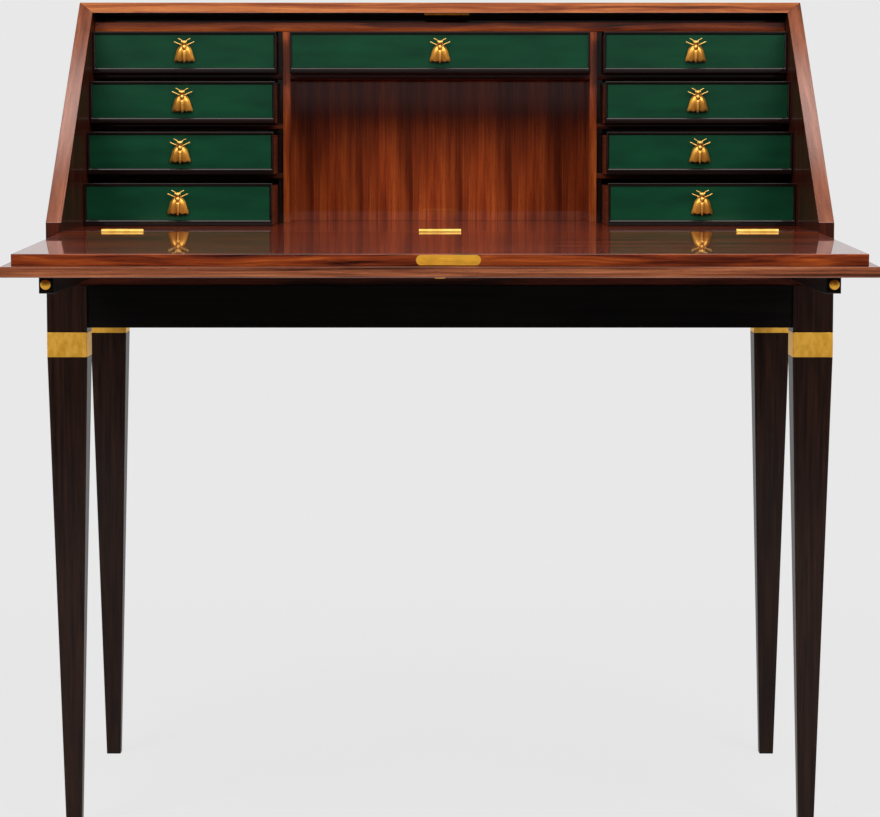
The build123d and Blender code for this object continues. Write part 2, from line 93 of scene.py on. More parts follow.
WING_LOBE = 0.8  # height of the lobes along a wing's lower edge, mm
LOBE_ROW = 7  # row that the lobes start from
HEAD = [(0.9, 14.2), (3.0, 13.6), (4.1, 12.0), (4.0, 10.2), (2.9, 8.8), (1.6, 8.1)]
THORAX = [(1.2, 8.7), (2.9, 7.8), (3.6, 5.8), (3.5, 3.6), (2.4, 1.8), (1.2, 0.9)]
ABDOMEN = [
    (1.4, 1.9),
    (2.6, 0.6),
    (3.1, -1.2),
    (2.8, -2.4),
    (3.2, -4.0),
    (2.8, -5.5),
    (3.1, -7.0),
    (2.6, -8.6),
    (2.9, -10.0),
    (2.3, -11.7),
    (2.3, -13.0),
    (1.6, -14.2),
    (0.7, -15.6),
]
BODY_SIDES = 14
BODY_REACH = 5.4  # axis of the body in front of the panel, mm
EYE = [(0.4, -1.3), (1.1, -0.8), (1.4, 0.0), (1.1, 0.8), (0.4, 1.3)]  # radius, height
EYE_SIDES = 10
EYE_PLACE = (2.7, -7.4, 12.3)  # the right-hand eye
POST = [(3.4, 0.0), (3.4, 0.6), (2.6, 1.2), (2.6, 4.6)]  # radius, distance from the panel
FEELER_PATH = [(1.8, -5.6, 12.8), (4.0, -6.0, 14.8), (8.0, -5.0, 16.6)]
FEELER_RADII = (0.75, 0.65, 0.5)
FORELEG_PATH = [(3.0, -5.0, 7.8), (7.4, -5.6, 9.6), (13.0, -4.6, 12.3)]
FORELEG_RADII = (0.9, 0.8, 0.65)

# ---- Loper knob: radius and distance from the loper's end, mm ----
KNOB = [
    (3.0, 0.0),
    (2.6, 0.5),
    (2.5, 2.6),
    (3.6, 3.6),
    (4.9, 5.0),
    (5.4, 6.9),
    (5.35, 8.6),
    (4.7, 10.4),
    (3.4, 11.8),
    (1.6, 12.5),
    (0.4, 12.6),
]
KNOB_SIDES = 28

# ---- Slip-matched veneer on the back of the centre compartment, mm ----
LEAF_WIDTH = 67.7
LEAF_START = 36.5  # distance of the first joint left of the middle

# ---- Studio ----
FLOOR_SIZE = 400.0  # metres
# Distances from the middle of the desk over which its shadows fade from the paper, metres.
SHADOW_REACH = (0.9, 2.4)
HORIZON = (0.005, 0.014)  # height of a direction where the dark front turns to the far wall
BEHIND = (-0.5, 0.1)  # depth of a direction where the front turns to the pale back
OVERHEAD = (0.3, 0.7)  # height of a direction where the walls turn to the dark ceiling


# ---- Colours and nodes ----
def linear(hex_colour):
    """Linear RGB of an sRGB hex colour."""
    channels = [int(hex_colour[i : i + 2], 16) / 255 for i in (1, 3, 5)]
    return tuple(c / 12.92 if c <= 0.04045 else ((c + 0.055) / 1.055) ** 2.4 for c in channels)


def add(tree, kind, values=None, links=None, stops=None, **settings):
    """A node with its settings, input values, links into its inputs and ramp stops."""
    made = tree.nodes.new(kind)
    for name, value in settings.items():
        setattr(made, name, value)
    for socket, value in (values or {}).items():
        made.inputs[socket].default_value = value
    for socket, source in (links or {}).items():
        tree.links.new(source, made.inputs[socket])
    if stops:
        elements = made.color_ramp.elements
        while len(elements) < len(stops):
            elements.new(1.0)
        for element, (position, colour) in zip(elements, stops):
            element.position = position
            element.color = (*colour, 1.0)
    return made


def new_material(name, shader_values):
    """A material with its Principled shader and output."""
    material = bpy.data.materials.new(name)
    material.use_nodes = True
    tree = material.node_tree
    tree.nodes.clear()
    shader = add(tree, "ShaderNodeBsdfPrincipled", shader_values)
    add(tree, "ShaderNodeOutputMaterial", links={"Surface": shader.outputs["BSDF"]})
    return material, tree, shader


def grain_noise(tree, place, along, across_mm, along_mm, detail, roughness=0.6, bend=None):
    """Noise drawn out along the grain, from the width and length of its marks in mm."""
    scale = [1 / (across_mm * MM)] * 3
    scale["XYZ".index(along)] = 1 / (along_mm * MM)
    drawn = add(tree, "ShaderNodeMapping", {"Scale": scale}, {"Vector": place}).outputs["Vector"]
    if bend:
        drawn = add(
            tree, "ShaderNodeVectorMath", links={0: drawn, 1: bend}, operation="ADD"
        ).outputs["Vector"]
    return add(
        tree,
        "ShaderNodeTexNoise",
        {"Scale": 1.0, "Detail": detail, "Roughness": roughness},
        {"Vector": drawn},
    )


# ---- Finishes ----
def rosewood(
    name,
    along,
    shades,
    figure_mm=11.0,
    polish=1.0,
    polish_roughness=0.03,
    turn=0.0,
    leaf_mm=0.0,
    leaf_start_mm=0.0,
    swirl=2.2,
):
    """Rosewood veneer under french polish.

    Dark lines wander through red-brown wood, with fine open pores along the grain. The
    polish is level and bright, so the surface mirrors what stands behind it. Where the
    veneer is slip-matched, each leaf repeats the same figure from joint to joint.
    """
    material, tree, shader = new_material(
        name,
        {
            "Roughness": 0.45,
            "Specular IOR Level": 0.08,
            "Coat Weight": polish,
            "Coat Roughness": polish_roughness,
            "Coat IOR": 1.5,
        },
    )
    place = add(tree, "ShaderNodeTexCoord").outputs["Object"]
    if turn:
        place = add(
            tree, "ShaderNodeMapping", {"Rotation": (turn, 0, 0)}, {"Vector": place}
        ).outputs["Vector"]
    whole = place
    if leaf_mm:
        parts = add(tree, "ShaderNodeSeparateXYZ", links={"Vector": place})
        started = add(
            tree,
            "ShaderNodeMath",
            {1: leaf_start_mm * MM},
            {0: parts.outputs["X"]},
            operation="ADD",
        )
        leaf = add(
            tree,
            "ShaderNodeMath",
            {1: leaf_mm * MM},
            {0: started.outputs[0]},
            operation="FLOORED_MODULO",
        )
        again = add(
            tree,
            "ShaderNodeCombineXYZ",
            links={"X": leaf.outputs[0], "Y": parts.outputs["Y"], "Z": parts.outputs["Z"]},
        )
        place = again.outputs["Vector"]
    drift = grain_noise(tree, place, along, 60.0, 260.0, 2.0, 0.5)
    bend = add(
        tree,
        "ShaderNodeVectorMath",
        {1: (swirl, swirl, swirl)},
        {0: drift.outputs["Color"]},
        operation="MULTIPLY",
    )
    figure = grain_noise(tree, place, along, figure_mm, 420.0, 3.0, bend=bend.outputs["Vector"])
    body = add(
        tree,
        "ShaderNodeValToRGB",
        links={"Fac": figure.outputs["Fac"]},
        stops=list(zip((0.28, 0.40, 0.54, 0.74), map(linear, shades))),
    )
    streaks = grain_noise(tree, place, along, 1.6, 60.0, 3.0, 0.65)
    streak_shade = add(
        tree,
        "ShaderNodeValToRGB",
        links={"Fac": streaks.outputs["Fac"]},
        stops=[(0.34, (0.6, 0.52, 0.46)), (0.5, (0.94, 0.92, 0.9)), (0.68, (1.2, 1.18, 1.15))],
    )
    # Real pores are about 0.2 mm wide. They are drawn at 0.8 mm, so that they show.
    pores = grain_noise(tree, place, along, 0.8, 9.0, 2.0)
    pore_shade = add(
        tree,
        "ShaderNodeValToRGB",
        links={"Fac": pores.outputs["Fac"]},
        stops=[(0.30, (0.5, 0.44, 0.42)), (0.40, (1.0, 1.0, 1.0))],
    )
    layers = [(0.8, streak_shade), (0.7, pore_shade)]
    if leaf_mm:
        across = add(
            tree, "ShaderNodeMath", {1: leaf_mm * MM}, {0: leaf.outputs[0]}, operation="DIVIDE"
        )
        joint = add(
            tree,
            "ShaderNodeValToRGB",
            links={"Fac": across.outputs[0]},
            stops=[
                (0.0, (1.15, 1.12, 1.1)),
                (0.03, (1.0, 1.0, 1.0)),
                (0.4, (1.12, 1.06, 1.0)),
                (0.75, (0.94, 0.9, 0.87)),
                (0.92, (0.58, 0.5, 0.47)),
                (0.99, (0.76, 0.7, 0.66)),
            ],
        )
        cloud = grain_noise(tree, whole, along, 30.0, 140.0, 2.0, 0.5)
        cloud_shade = add(
            tree,
            "ShaderNodeValToRGB",
            links={"Fac": cloud.outputs["Fac"]},
            stops=[(0.35, (0.78, 0.7, 0.66)), (0.62, (1.15, 1.12, 1.08))],
        )
        layers += [(1.0, joint), (1.0, cloud_shade)]
    colour = body.outputs["Color"]
    for share, layer in layers:
        colour = add(
            tree, "ShaderNodeMix", {0: share}, {6: colour, 7: layer.outputs["Color"]}, **MULTIPLY
        ).outputs[2]
    tree.links.new(colour, shader.inputs["Base Color"])
    bump = add(
        tree,
        "ShaderNodeBump",
        {"Strength": 0.12, "Distance": 0.05 * MM},
        {"Height": pores.outputs["Fac"]},
    )
    tree.links.new(bump.outputs["Normal"], shader.inputs["Normal"])
    return material


def dark_wood(name, along, shades, shine, coat_roughness):
    """Stained and polished wood: a near-black ground with a little brown grain in it."""
    material, tree, shader = new_material(
        name,
        {
            "Roughness": 0.5,
            "Specular IOR Level": 0.06,
            "Coat Weight": shine,
            "Coat Roughness": coat_roughness,
            "Coat IOR": 1.45,
        },
    )
    place = add(tree, "ShaderNodeTexCoord").outputs["Object"]
    grain = grain_noise(tree, place, along, 4.0, 150.0, 4.0, 0.65)
    colour = add(
        tree,
        "ShaderNodeValToRGB",
        links={"Fac": grain.outputs["Fac"]},
        stops=[(0.34, linear(shades[0])), (0.7, linear(shades[1]))],
    )
    tree.links.new(colour.outputs["Color"], shader.inputs["Base Color"])
    # Drawn coarser than real pores, so that they show under the shine.
    pores = grain_noise(tree, place, along, 0.9, 14.0, 2.0)
    bump = add(
        tree,
        "ShaderNodeBump",
        {"Strength": 0.2, "Distance": 0.05 * MM},
        {"Height": pores.outputs["Fac"]},
    )
    tree.links.new(bump.outputs["Normal"], shader.inputs["Normal"])
    return material


def green_lacquer(settings):
    """Green lacquer, rubbed flat and polished: deep colour, a little uneven, fine rub marks."""
    material, tree, shader = new_material(
        "green_polished_lacquer",
        {
            "Roughness": 0.4,
            "Specular IOR Level": 0.08,
            "Coat Weight": 0.35,
            "Coat Roughness": 0.08,
        },
    )
    place = add(tree, "ShaderNodeTexCoord").outputs["Object"]
    cloud = grain_noise(tree, place, "X", 16.0, 70.0, 3.0, 0.5)
    deep = settings.green
    colour = add(
        tree,
        "ShaderNodeValToRGB",
        links={"Fac": cloud.outputs["Fac"]},
        stops=[(0.3, tuple(c * 0.8 for c in deep)), (0.7, tuple(c * 1.25 for c in deep))],
    )
    tree.links.new(colour.outputs["Color"], shader.inputs["Base Color"])
    # Rub marks, drawn coarser than real ones, so that they show.
    rubbed = grain_noise(tree, place, "X", 1.0, 20.0, 2.0)
    bump = add(
        tree,
        "ShaderNodeBump",
        {"Strength": 0.1, "Distance": 0.03 * MM},
        {"Height": rubbed.outputs["Fac"]},
    )
    tree.links.new(bump.outputs["Normal"], shader.inputs["Normal"])
    return material


def brass(name, pale, deep, along, roughness):
    """Brass, rubbed one way with a cloth: warm yellow, a breath of tarnish, fine scratches."""
    material, tree, shader = new_material(name, {"Metallic": 1.0, "Roughness": roughness})
    place = add(tree, "ShaderNodeTexCoord").outputs["Object"]
    tarnish = grain_noise(tree, place, along, 7.0, 14.0, 3.0)
    colour = add(
        tree,
        "ShaderNodeValToRGB",
        links={"Fac": tarnish.outputs["Fac"]},
        stops=[(0.3, deep), (0.6, pale)],
    )
    tree.links.new(colour.outputs["Color"], shader.inputs["Base Color"])
    # Real scratches are under 0.1 mm. They are drawn at 0.4 mm, so that they show.
    scratches = grain_noise(tree, place, along, 0.4, 12.0, 2.0)
    bump = add(
        tree,
        "ShaderNodeBump",
        {"Strength": 0.15, "Distance": 0.03 * MM},
        {"Height": scratches.outputs["Fac"]},
    )
    tree.links.new(bump.outputs["Normal"], shader.inputs["Normal"])
    return material


def gilt(settings):
    """Cast and gilt brass: bright where it is rubbed, orange-brown in its hollows."""
    material, tree, shader = new_material("gilt_cast_brass", {"Metallic": 1.0, "Roughness": 0.45})
    worn = add(tree, "ShaderNodeNewGeometry")
    colour = add(
        tree,
        "ShaderNodeValToRGB",
        links={"Fac": worn.outputs["Pointiness"]},
        stops=[(0.42, linear("#98480E")), (0.49, tuple(settings.gilt)), (0.57, linear("#E2B868"))],
    )
    tree.links.new(colour.outputs["Color"], shader.inputs["Base Color"])
    place = add(tree, "ShaderNodeTexCoord").outputs["Object"]
    cast = grain_noise(tree, place, "Z", 0.9, 1.8, 3.0)
    bump = add(
        tree,
        "ShaderNodeBump",
        {"Strength": 0.25, "Distance": 0.12 * MM},
        {"Height": cast.outputs["Fac"]},
    )
    tree.links.new(bump.outputs["Normal"], shader.inputs["Normal"])
    return material


made_finishes = {}


def finish(name):
    """A finish by name, made at its first use."""
    settings = bpy.context.scene.desk_finish
    red = ("#1C0802", "#581E08", "#883A14", "#AE5A26")
    makers = {
        # Red-brown with wandering dark lines, mirror bright.
        "long": lambda: rosewood("rosewood_veneer_long_grain", "X", red),
        # The same wood with its grain upright.
        "upright": lambda: rosewood("rosewood_veneer_upright_grain", "Z", red),
        # Even brown, under a softer polish that spreads the light of a lamp.
        "sloping": lambda: rosewood(
            "rosewood_banding_sloping_grain",
            "Y",
            ("#38190B", "#582810", "#6C361A", "#82482E"),
            figure_mm=14.0,
            polish_roughness=0.12,
            turn=-SLOPE,
        ),
        # Lighter wood, so that the front edge of the top stands out from the sides.
        "pale": lambda: rosewood(
            "rosewood_veneer_pale_long_grain", "X", ("#34170A", "#70361C", "#94542C", "#A86C40")
        ),
        # Deep red and dark, so that what stands behind it shows in the polish.
        "desk": lambda: rosewood(
            "rosewood_veneer_writing_surface",
            "X",
            ("#140401", "#420F03", "#652006", "#80350E"),
            polish=0.8,
        ),
        # Calm brown figure under a polish that has lost its sharpness.
        "outer": lambda: rosewood(
            "rosewood_veneer_outer_face",
            "X",
            ("#220D06", "#4A2010", "#6C341A", "#865030"),
            polish=0.7,
            polish_roughness=0.14,
        ),
        # Painted shade: a darker copy of the wood for faces that lie in shade inside the case and
        # on the sides' upright front faces, with too thin a polish to mirror much.
        "shaded": lambda: rosewood(
            "rosewood_veneer_painted_shade_upright",
            "Z",
            ("#0E0402", "#240C05", "#3A1408", "#4E1E0E"),
            polish=0.25,
        ),
        # Painted shade along the case, for the front rail under the fall and the shelf fronts
        # behind the drawers: a little lighter than the other, with a little more polish.
        "shaded_long": lambda: rosewood(
            "rosewood_veneer_painted_shade_long_grain",
            "X",
            ("#120502", "#2C0F06", "#44190B", "#5C2612"),
            polish=0.4,
        ),
        # Tight curls and near-black streaks along an edge.
        "swirled": lambda: rosewood(
            "rosewood_banding_swirled",
            "X",
            ("#120401", "#481707", "#722E10", "#9C4C1A"),
            figure_mm=6.0,
            swirl=5.0,
        ),
        # Fine streaks in a paler, duller brown, as on an edge that hands rub. On the back panel's
        # front face the same paler wood is painted light.
        "lip": lambda: rosewood(
            "rosewood_lip_streaked_and_painted_light",
            "X",
            ("#34180E", "#5C301E", "#7A452C", "#986040"),
            figure_mm=4.0,
        ),
        # Upright leaves side by side, each with the same figure and darker towards its joint.
        "leaves": lambda: rosewood(
            "rosewood_veneer_slip_matched",
            "Z",
            ("#481807", "#70290D", "#8C3D17", "#9E4C1E"),
            figure_mm=10.0,
            leaf_mm=LEAF_WIDTH,
            leaf_start_mm=LEAF_START,
            swirl=0.8,
        ),
        # Near black and glossy, so that only its edges catch light.
        "frame": lambda: dark_wood(
            "mahogany_dark_polished", "X", ("#070201", "#140503"), 1.0, 0.05
        ),
        # Plain red-brown boards, barely polished.
        "carcass": lambda: dark_wood(
            "mahogany_drawer_sides", "Y", ("#3A150A", "#6E2E18"), 0.3, 0.2
        ),
        # Dull brown stain with hardly any reflection.
        "secondary": lambda: dark_wood(
            "stained_secondary_wood", "X", ("#3A2417", "#5E3E28"), 0.0, 0.4
        ),
        # Black with brown grain in it, under a thin shine.
        "black_upright": lambda: dark_wood(
            "ebonised_wood_upright_grain", "Z", ("#100604", "#2A160D"), 0.2, 0.1
        ),
        # Black all through, with a thin shine.
        "black_long": lambda: dark_wood(
            "ebonised_wood_long_grain", "X", ("#030202", "#0C0806"), 0.35, 0.1
        ),
        # Black, with its grain from front to back.
        "black_deep": lambda: dark_wood(
            "ebonised_wood_front_to_back", "Y", ("#050303", "#120C09"), 0.35, 0.1
        ),
        "green": lambda: green_lacquer(settings),
        # Warm yellow with soft scratches that spread each highlight.
        "brass": lambda: brass(
            "polished_brass_rubbed_across", tuple(settings.brass), linear("#DCA238"), "X", 0.55
        ),
        # A lighter yellow, rubbed upright.
        "brass_upright": lambda: brass(
            "polished_brass_rubbed_upright", linear("#F4BC4E"), linear("#DCA034"), "Z", 0.5
        ),
        # Pale and dull, as brass that is handled little.
        "brass_pale": lambda: brass(
            "unpolished_brass_rubbed_across", linear("#D2A858"), linear("#B48838"), "X", 0.5
        ),
        "gilt": lambda: gilt(settings),
    }
    if name not in made_finishes:
        made_finishes[name] = makers[name]()
    return made_finishes[name]


# ---- Modelling by hand ----
def pick(piece):
    """Make a piece the only selected and the active one."""
    bpy.ops.object.select_all(action="DESELECT")
    piece.select_set(True)
    bpy.context.view_layer.objects.active = piece


def apply_place(piece):
    """Put a piece's place, turn and scale into its mesh."""
    pick(piece)
    bpy.ops.object.transform_apply(location=True, rotation=True, scale=True)


def outward(piece):
    """Merge doubles and point the faces outwards."""
    pick(piece)
    bpy.ops.object.mode_set(mode="EDIT")
    bpy.ops.mesh.select_all(action="SELECT")
    bpy.ops.mesh.remove_doubles(threshold=MERGE)
    bpy.ops.mesh.normals_make_consistent(inside=False)
    bpy.ops.object.mode_set(mode="OBJECT")


def apply_modifier(piece, kind, **settings):
    """Add a modifier and apply it."""
    modifier = piece.modifiers.new(kind.lower(), kind)
    for name, value in settings.items():
        setattr(modifier, name, value)
    pick(piece)
    bpy.ops.object.modifier_apply(modifier=modifier.name)


def joined(pieces, name):
    """Several pieces made one."""
    bpy.ops.object.select_all(action="DESELECT")
    for piece in pieces:
        piece.select_set(True)
    bpy.context.view_layer.objects.active = pieces[0]
    bpy.ops.object.join()
    pieces[0].name = name
    return pieces[0]


def taken(node, keep=None):
    """A new piece with a node's shape, its loose triangles merged into whole faces.

    keep(centre, normal) says which of the node's triangles go into the piece.
    """
    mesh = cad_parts[node].data.copy()
    mesh.materials.clear()
    piece = bpy.data.objects.new(node, mesh)
    bpy.context.collection.objects.link(piece)
    pick(piece)
    if keep:
        bpy.context.tool_settings.mesh_select_mode = (False, False, True)
        for face in mesh.polygons:
            face.select = not keep(face.center, face.normal)
        bpy.ops.object.mode_set(mode="EDIT")
        bpy.ops.mesh.delete(type="FACE")
        bpy.ops.object.mode_set(mode="OBJECT")
    bpy.ops.object.mode_set(mode="EDIT")
    bpy.ops.mesh.select_all(action="SELECT")
    bpy.ops.mesh.customdata_custom_splitnormals_clear()
    bpy.ops.mesh.remove_doubles(threshold=MERGE)
    bpy.ops.mesh.dissolve_limited(angle_limit=FLAT)
    bpy.ops.object.mode_set(mode="OBJECT")
    return piece


def board(low, high):
    """A board between two corners."""
    low, high = Vector(low), Vector(high)
    bpy.ops.object.select_all(action="DESELECT")
    bpy.ops.mesh.primitive_cube_add(size=1.0, location=(low + high) / 2)
    piece = bpy.context.object
    piece.scale = high - low
    apply_place(piece)
    return piece


def soften(piece, width, shortest=8.0 * MM):
    """Round the long sharp edges of a piece, as sandpaper does."""
    pick(piece)
    bpy.ops.object.mode_set(mode="EDIT")
    bpy.ops.mesh.select_mode(type="EDGE")
    bpy.ops.mesh.select_all(action="DESELECT")
    bpy.ops.mesh.edges_select_sharp(sharpness=SHARP)
    bpy.ops.object.mode_set(mode="OBJECT")
    mesh = piece.data
    for edge in mesh.edges:
        start, end = (mesh.vertices[number].co for number in edge.vertices)
        edge.select = edge.select and (end - start).length > shortest
    bpy.ops.object.mode_set(mode="EDIT")
    bpy.ops.mesh.bevel(offset=width, segments=2, affect="EDGES", clamp_overlap=False)
    bpy.ops.object.mode_set(mode="OBJECT")
    shade(piece)


def shade(piece):
    """Smooth shading over rounded edges, with the flat faces kept flat."""
    pick(piece)
    bpy.ops.object.shade_smooth_by_angle(angle=SMOOTH)
    apply_modifier(piece, "WEIGHTED_NORMAL", keep_sharp=True)


def dress(piece, main, others=()):
    """Give a piece its finishes: main, and others as (finish, test of a face's normal)."""
    piece.data.materials.append(finish(main))
    for number, (name, test) in enumerate(others, 1):
        piece.data.materials.append(finish(name))
        for face in piece.data.polygons:
            if test(face.normal):
                face.material_index = number


def settle(piece, body, slot, *nodes):
    """Let a finished piece ride on a body and stand for its nodes."""
    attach(piece, body)
    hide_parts(*nodes)


def eased_copy(node, body, slot, width, main, others=()):
    """A node's shape with eased edges, in its finishes."""
    piece = taken(node)
    piece.name = f"{node}_eased"
    soften(piece, width)
    dress(piece, main, others)
    settle(piece, body, slot, node)
    return piece


def turned(rings, sides):
    """Round solid along Z: a disc extruded and scaled to each ring (radius, reach) in mm."""
    radius, reach = rings[0]
    bpy.ops.object.select_all(action="DESELECT")
    bpy.ops.mesh.primitive_circle_add(
        vertices=sides, radius=radius * MM, fill_type="NGON", location=(0, 0, reach * MM)
    )
    piece = bpy.context.object
    apply_place(piece)
    bpy.ops.object.mode_set(mode="EDIT")
    bpy.ops.mesh.select_all(action="SELECT")
    for (last, start), (radius, reach) in zip(rings, rings[1:]):
        bpy.ops.mesh.extrude_region_move(
            TRANSFORM_OT_translate={"value": (0, 0, (reach - start) * MM)}
        )
        share = radius / last
        bpy.ops.transform.resize(value=(share, share, 1), center_override=(0, 0, reach * MM))
    bpy.ops.object.mode_set(mode="OBJECT")
    outward(piece)
    return piece


def rod(path, radii):
    """Tapered round rod through points in mm."""
    curve = bpy.data.curves.new("rod", "CURVE")
    curve.dimensions = "3D"
    curve.bevel_depth = MM
    curve.bevel_resolution = 3
    curve.use_fill_caps = True
    spline = curve.splines.new("NURBS")
    spline.points.add(len(path) - 1)
    for point, place, radius in zip(spline.points, path, radii):
        point.co = (*(Vector(place) * MM), 1.0)
        point.radius = radius
    spline.order_u = 3
    spline.use_endpoint_u = True
    spline.resolution_u = 6
    piece = bpy.data.objects.new("rod", curve)
    bpy.context.collection.objects.link(piece)
    pick(piece)
    bpy.ops.object.convert(target="MESH")
    return bpy.context.object


# ---- Stage ----
def studio_paper(settings):
    """Matt pale paper, evenly bright to the eye, with its shadows kept near the desk.

    To reflections it is as bright beside and behind the desk, and dark beyond the paper's
    front end, where the studio is unlit.
    """
    material, tree, shader = new_material(
        "matt_studio_paper", {"Base Color": (*settings.paper, 1.0), "Roughness": 0.9}
    )
    rays = add(tree, "ShaderNodeLightPath")
    place = add(tree, "ShaderNodeTexCoord")
    parts = add(tree, "ShaderNodeSeparateXYZ", links={"Vector": place.outputs["Object"]})
    lit = add(
        tree,
        "ShaderNodeMapRange",
        {"From Min": -settings.paper_front, "From Max": -settings.paper_front / 2},
        {"Value": parts.outputs["Y"]},
    )
    strength = add(
        tree,
        "ShaderNodeMath",
        links={0: rays.outputs["Is Camera Ray"], 1: lit.outputs["Result"]},
        operation="MAXIMUM",
    )
    seen = rays.outputs["Is Camera Ray"]
    for other in ("Is Glossy Ray", "Is Transmission Ray"):
        seen = add(
            tree, "ShaderNodeMath", links={0: seen, 1: rays.outputs[other]}, operation="MAXIMUM"
        ).outputs[0]
    away = add(
        tree, "ShaderNodeVectorMath", links={0: place.outputs["Object"]}, operation="LENGTH"
    )
    even = add(
        tree,
        "ShaderNodeMapRange",
        {
            "From Min": SHADOW_REACH[0],
            "From Max": SHADOW_REACH[1],
            "To Min": settings.evenness,
            "To Max": 1.0,
        },
        {"Value": away.outputs["Value"]},
        interpolation_type="SMOOTHSTEP",
    )
    share = add(
        tree, "ShaderNodeMath", links={0: seen, 1: even.outputs["Result"]}, operation="MULTIPLY"
    )
    glow = add(
        tree,
        "ShaderNodeEmission",
        {"Color": (*settings.paper, 1.0)},
        {"Strength": strength.outputs[0]},
    )
    blend = add(
        tree,
        "ShaderNodeMixShader",
        links={0: share.outputs[0], 1: shader.outputs["BSDF"], 2: glow.outputs["Emission"]},
    )
    output = next(node for node in tree.nodes if node.type == "OUTPUT_MATERIAL")
    tree.links.new(blend.outputs["Shader"], output.inputs["Surface"])
    return material


def studio_world(settings):
    """Pale all round to the eye.

    To reflections it is pale behind and beside the desk, dim in front and dark overhead.
    """
    world = bpy.data.worlds.new("studio_world")
    bpy.context.scene.world = world
    world.use_nodes = True
    tree = world.node_tree
    tree.nodes.clear()
    rays = add(tree, "ShaderNodeLightPath")
    direction = add(tree, "ShaderNodeTexCoord")
    parts = add(tree, "ShaderNodeSeparateXYZ", links={"Vector": direction.outputs["Generated"]})
    front = add(
        tree,
        "ShaderNodeMapRange",
        {
            "From Min": HORIZON[0],
            "From Max": HORIZON[1],
            "To Min": settings.dark_side,
            "To Max": settings.far_wall,
        },
        {"Value": parts.outputs["Z"]},
    )
    behind = add(
        tree,
        "ShaderNodeMapRange",
        {"From Min": BEHIND[0], "From Max": BEHIND[1], "To Max": 1.0},
        {"Value": parts.outputs["Y"], "To Min": front.outputs["Result"]},
    )
    low = add(
        tree,
        "ShaderNodeMapRange",
        {
            "From Min": OVERHEAD[0],
            "From Max": OVERHEAD[1],
            "To Min": 1.0,
            "To Max": settings.dark_side,
        },
        {"Value": parts.outputs["Z"]},
    )
    pale = add(
        tree,
        "ShaderNodeMath",
        links={0: behind.outputs["Result"], 1: low.outputs["Result"]},
        operation="MULTIPLY",
    )
    even = add(
        tree,
        "ShaderNodeMapRange",
        {"To Min": settings.fill, "To Max": 1.0},
        {"Value": rays.outputs["Is Camera Ray"]},
    )
    reflected = add(
        tree,
        "ShaderNodeMath",
        links={0: rays.outputs["Is Glossy Ray"], 1: rays.outputs["Is Transmission Ray"]},
        operation="MAXIMUM",
    )
    strength = add(
        tree,
        "ShaderNodeMix",
        links={0: reflected.outputs[0], 2: even.outputs["Result"], 3: pale.outputs[0]},
    )
    shown = add(
        tree,
        "ShaderNodeBackground",
        {"Color": (*settings.paper, 1.0)},
        {"Strength": strength.outputs[0]},
    )
    add(tree, "ShaderNodeOutputWorld", links={"Surface": shown.outputs["Background"]})


def stage(settings):
    """Floor, softboxes, world and camera."""
    bpy.ops.object.select_all(action="DESELECT")
    bpy.ops.mesh.primitive_plane_add(size=FLOOR_SIZE, location=(0, 0, 0))
    floor = bpy.context.object
    floor.name = "studio_floor"
    floor.data.materials.append(studio_paper(settings))
    studio_world(settings)
    # Name, place, target, size and power.
    lamps = (
        ("ceiling_softbox", (0, -0.7, 3.0), (0, -0.7, 0), (2.6, 2.3), settings.ceiling_watts),
        ("ceiling_strip", (0, 0.76, 3.0), (0, 0.76, 0), (2.6, 0.2), settings.strip_watts),
        ("key_softbox", (-2.4, -3.3, 3.3), (0, 0, 0.7), (2.0, 2.0), settings.key_watts),
        ("side_softbox", (2.4, -3.3, 3.3), (0, 0, 0.7), (2.0, 2.0), settings.side_watts),
    )
    for name, place, target, size, watts in lamps:
        bpy.ops.object.light_add(type="AREA", location=place)
        lamp = bpy.context.object
        lamp.name = name
        lamp.data.shape = "RECTANGLE"
        lamp.data.size, lamp.data.size_y = size
        lamp.data.energy = watts
        aim = Vector(target) - Vector(place)
        lamp.rotation_euler = aim.to_track_quat("-Z", "Y").to_euler()

    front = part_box("side_left")[0].y
    bpy.ops.object.camera_add(
        location=(settings.camera_side, front - settings.camera_distance, settings.camera_height),
        rotation=(math.radians(90) - settings.camera_pitch, 0, 0),
    )
    camera = bpy.context.object
    camera.name = "desk_camera"
    camera.data.sensor_fit = "HORIZONTAL"
    camera.data.sensor_width = SENSOR_MM
    camera.data.lens = settings.focal_px / IMAGE_WIDTH * SENSOR_MM
    camera.data.clip_end = 50.0
    bpy.context.scene.camera = camera
    bpy.context.scene.view_settings.view_transform = "Standard"


# ---- Case, gallery, fall ----
def front_edge(normal):
    """True for a face that looks forwards or forwards and up."""
    return normal.y < -0.4 and abs(normal.x) < 0.5


def slope(normal):
    """True for a face that looks forwards and up."""
    return front_edge(normal) and normal.z > 0.4


def case(details):
    """Sides, top, desk floor, front rail, bottom, back and loper channels."""
    for side, inwards in (("left", 1), ("right", -1)):
        # Painted shade: the inner faces and upright front faces of each side take the darker
        # shaded finish.
        eased_copy(
            f"side_{side}",
            ROOT,
            "rosewood",
            details.easing,
            "upright",
            [("sloping", slope), ("shaded", lambda n: n.x * inwards > 0.5 or n.y < -0.9)],
        )
    eased_copy("top_board", ROOT, "rosewood", details.easing, "outer", [("pale", front_edge)])
    eased_copy("desk_floor", ROOT, "rosewood", details.easing / 3, "desk")
    # Painted shade: the front rail under the fall takes the darker shaded finish.
    eased_copy("front_rail", ROOT, "rosewood", details.easing / 2, "shaded_long")
    eased_copy("case_bottom", ROOT, "secondary_wood", details.easing / 2, "secondary")
    # Painted light: the back panel's front face, seen in shade through the gap under the top,
    # takes the paler lip wood.
    eased_copy(
        "back_panel",
        ROOT,
        "secondary_wood",
        details.easing / 2,
        "secondary",
        [("lip", lambda normal: normal.y < -0.5)],
    )
    eased_copy("loper_channels", ROOT, "secondary_wood", details.easing / 2, "secondary")


